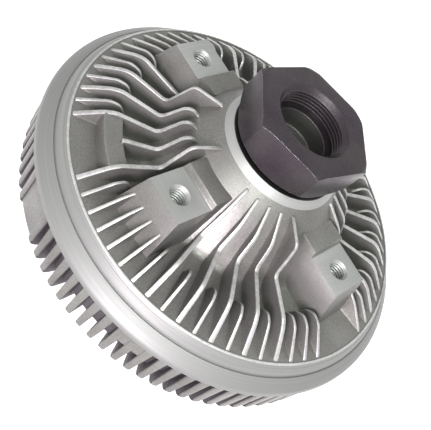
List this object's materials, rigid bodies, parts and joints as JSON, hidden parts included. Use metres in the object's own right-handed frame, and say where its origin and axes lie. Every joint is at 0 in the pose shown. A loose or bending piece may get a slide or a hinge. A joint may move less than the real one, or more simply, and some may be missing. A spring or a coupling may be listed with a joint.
{
  "type": "viscous fan clutch",
  "caption": "Finned round fan clutch with fan pads on its rear housing, a large hexagon with a threaded socket on its shaft, and a comb of fins on its front cover.",
  "frame": {"origin": "middle of the plane that the front fins rest on, below the centre of the shaft", "axes": "+Z along the shaft towards the hexagon, +X through the middle of one fan pad"},
  "size_m": [0.17, 0.17, 0.0836],
  "materials": {
    "cast_aluminium": "cast, dull",
    "pressed_aluminium": "machined",
    "machined_steel": "dark oxide",
    "race_steel": "ground",
    "sheet_steel": "zinc plated",
    "spring_bimetal": "bare strip",
    "cage_polymer": "moulded",
    "seal_rubber": "matt"
  },
  "bodies": {
    "housing": {"rear_housing": "cast_aluminium", "front_cover": "cast_aluminium", "rim_seal": "seal_rubber", "bearing_outer_ring": "race_steel", "bearing_shield": "sheet_steel", "bearing_circlip": "sheet_steel", "divider_plate": "sheet_steel", "plate_screw_1": "sheet_steel", "plate_screw_2": "sheet_steel", "plate_screw_3": "sheet_steel", "wiper": "cage_polymer", "bimetal_coil": "spring_bimetal", "coil_bracket": "sheet_steel", "bracket_screw": "sheet_steel", "valve_seal": "seal_rubber"},
    "shaft": {"shaft_nut": "machined_steel", "bearing_inner_ring": "race_steel", "rotor": "pressed_aluminium"},
    "cage": {"bearing_cage": "cage_polymer", "ball_1": "race_steel", "ball_2": "race_steel", "ball_3": "race_steel", "ball_4": "race_steel", "ball_5": "race_steel", "ball_6": "race_steel", "ball_7": "race_steel", "ball_8": "race_steel", "ball_9": "race_steel"},
    "valve": {"valve_shaft": "sheet_steel", "valve_arm": "sheet_steel"}
  },
  "joints": [
    {"name": "shaft_spin", "type": "hinge", "parent": "housing", "child": "shaft", "pos_m": [0, 0, 0.0275], "axis": [0, 0, 1], "continuous": true},
    {"name": "cage_spin", "type": "hinge", "parent": "housing", "child": "cage", "pos_m": [0, 0, 0.0275], "axis": [0, 0, 1], "continuous": true},
    {"name": "valve_turn", "type": "hinge", "parent": "housing", "child": "valve", "pos_m": [0, 0, 0.0275], "axis": [0, 0, 1], "range_deg": [0, 28], "stiffness_Nm_per_rad": 0.02}
  ],
  "couplings": [
    {"joint": "cage_spin", "follows": "shaft_spin", "ratio": 0.397}
  ]
}
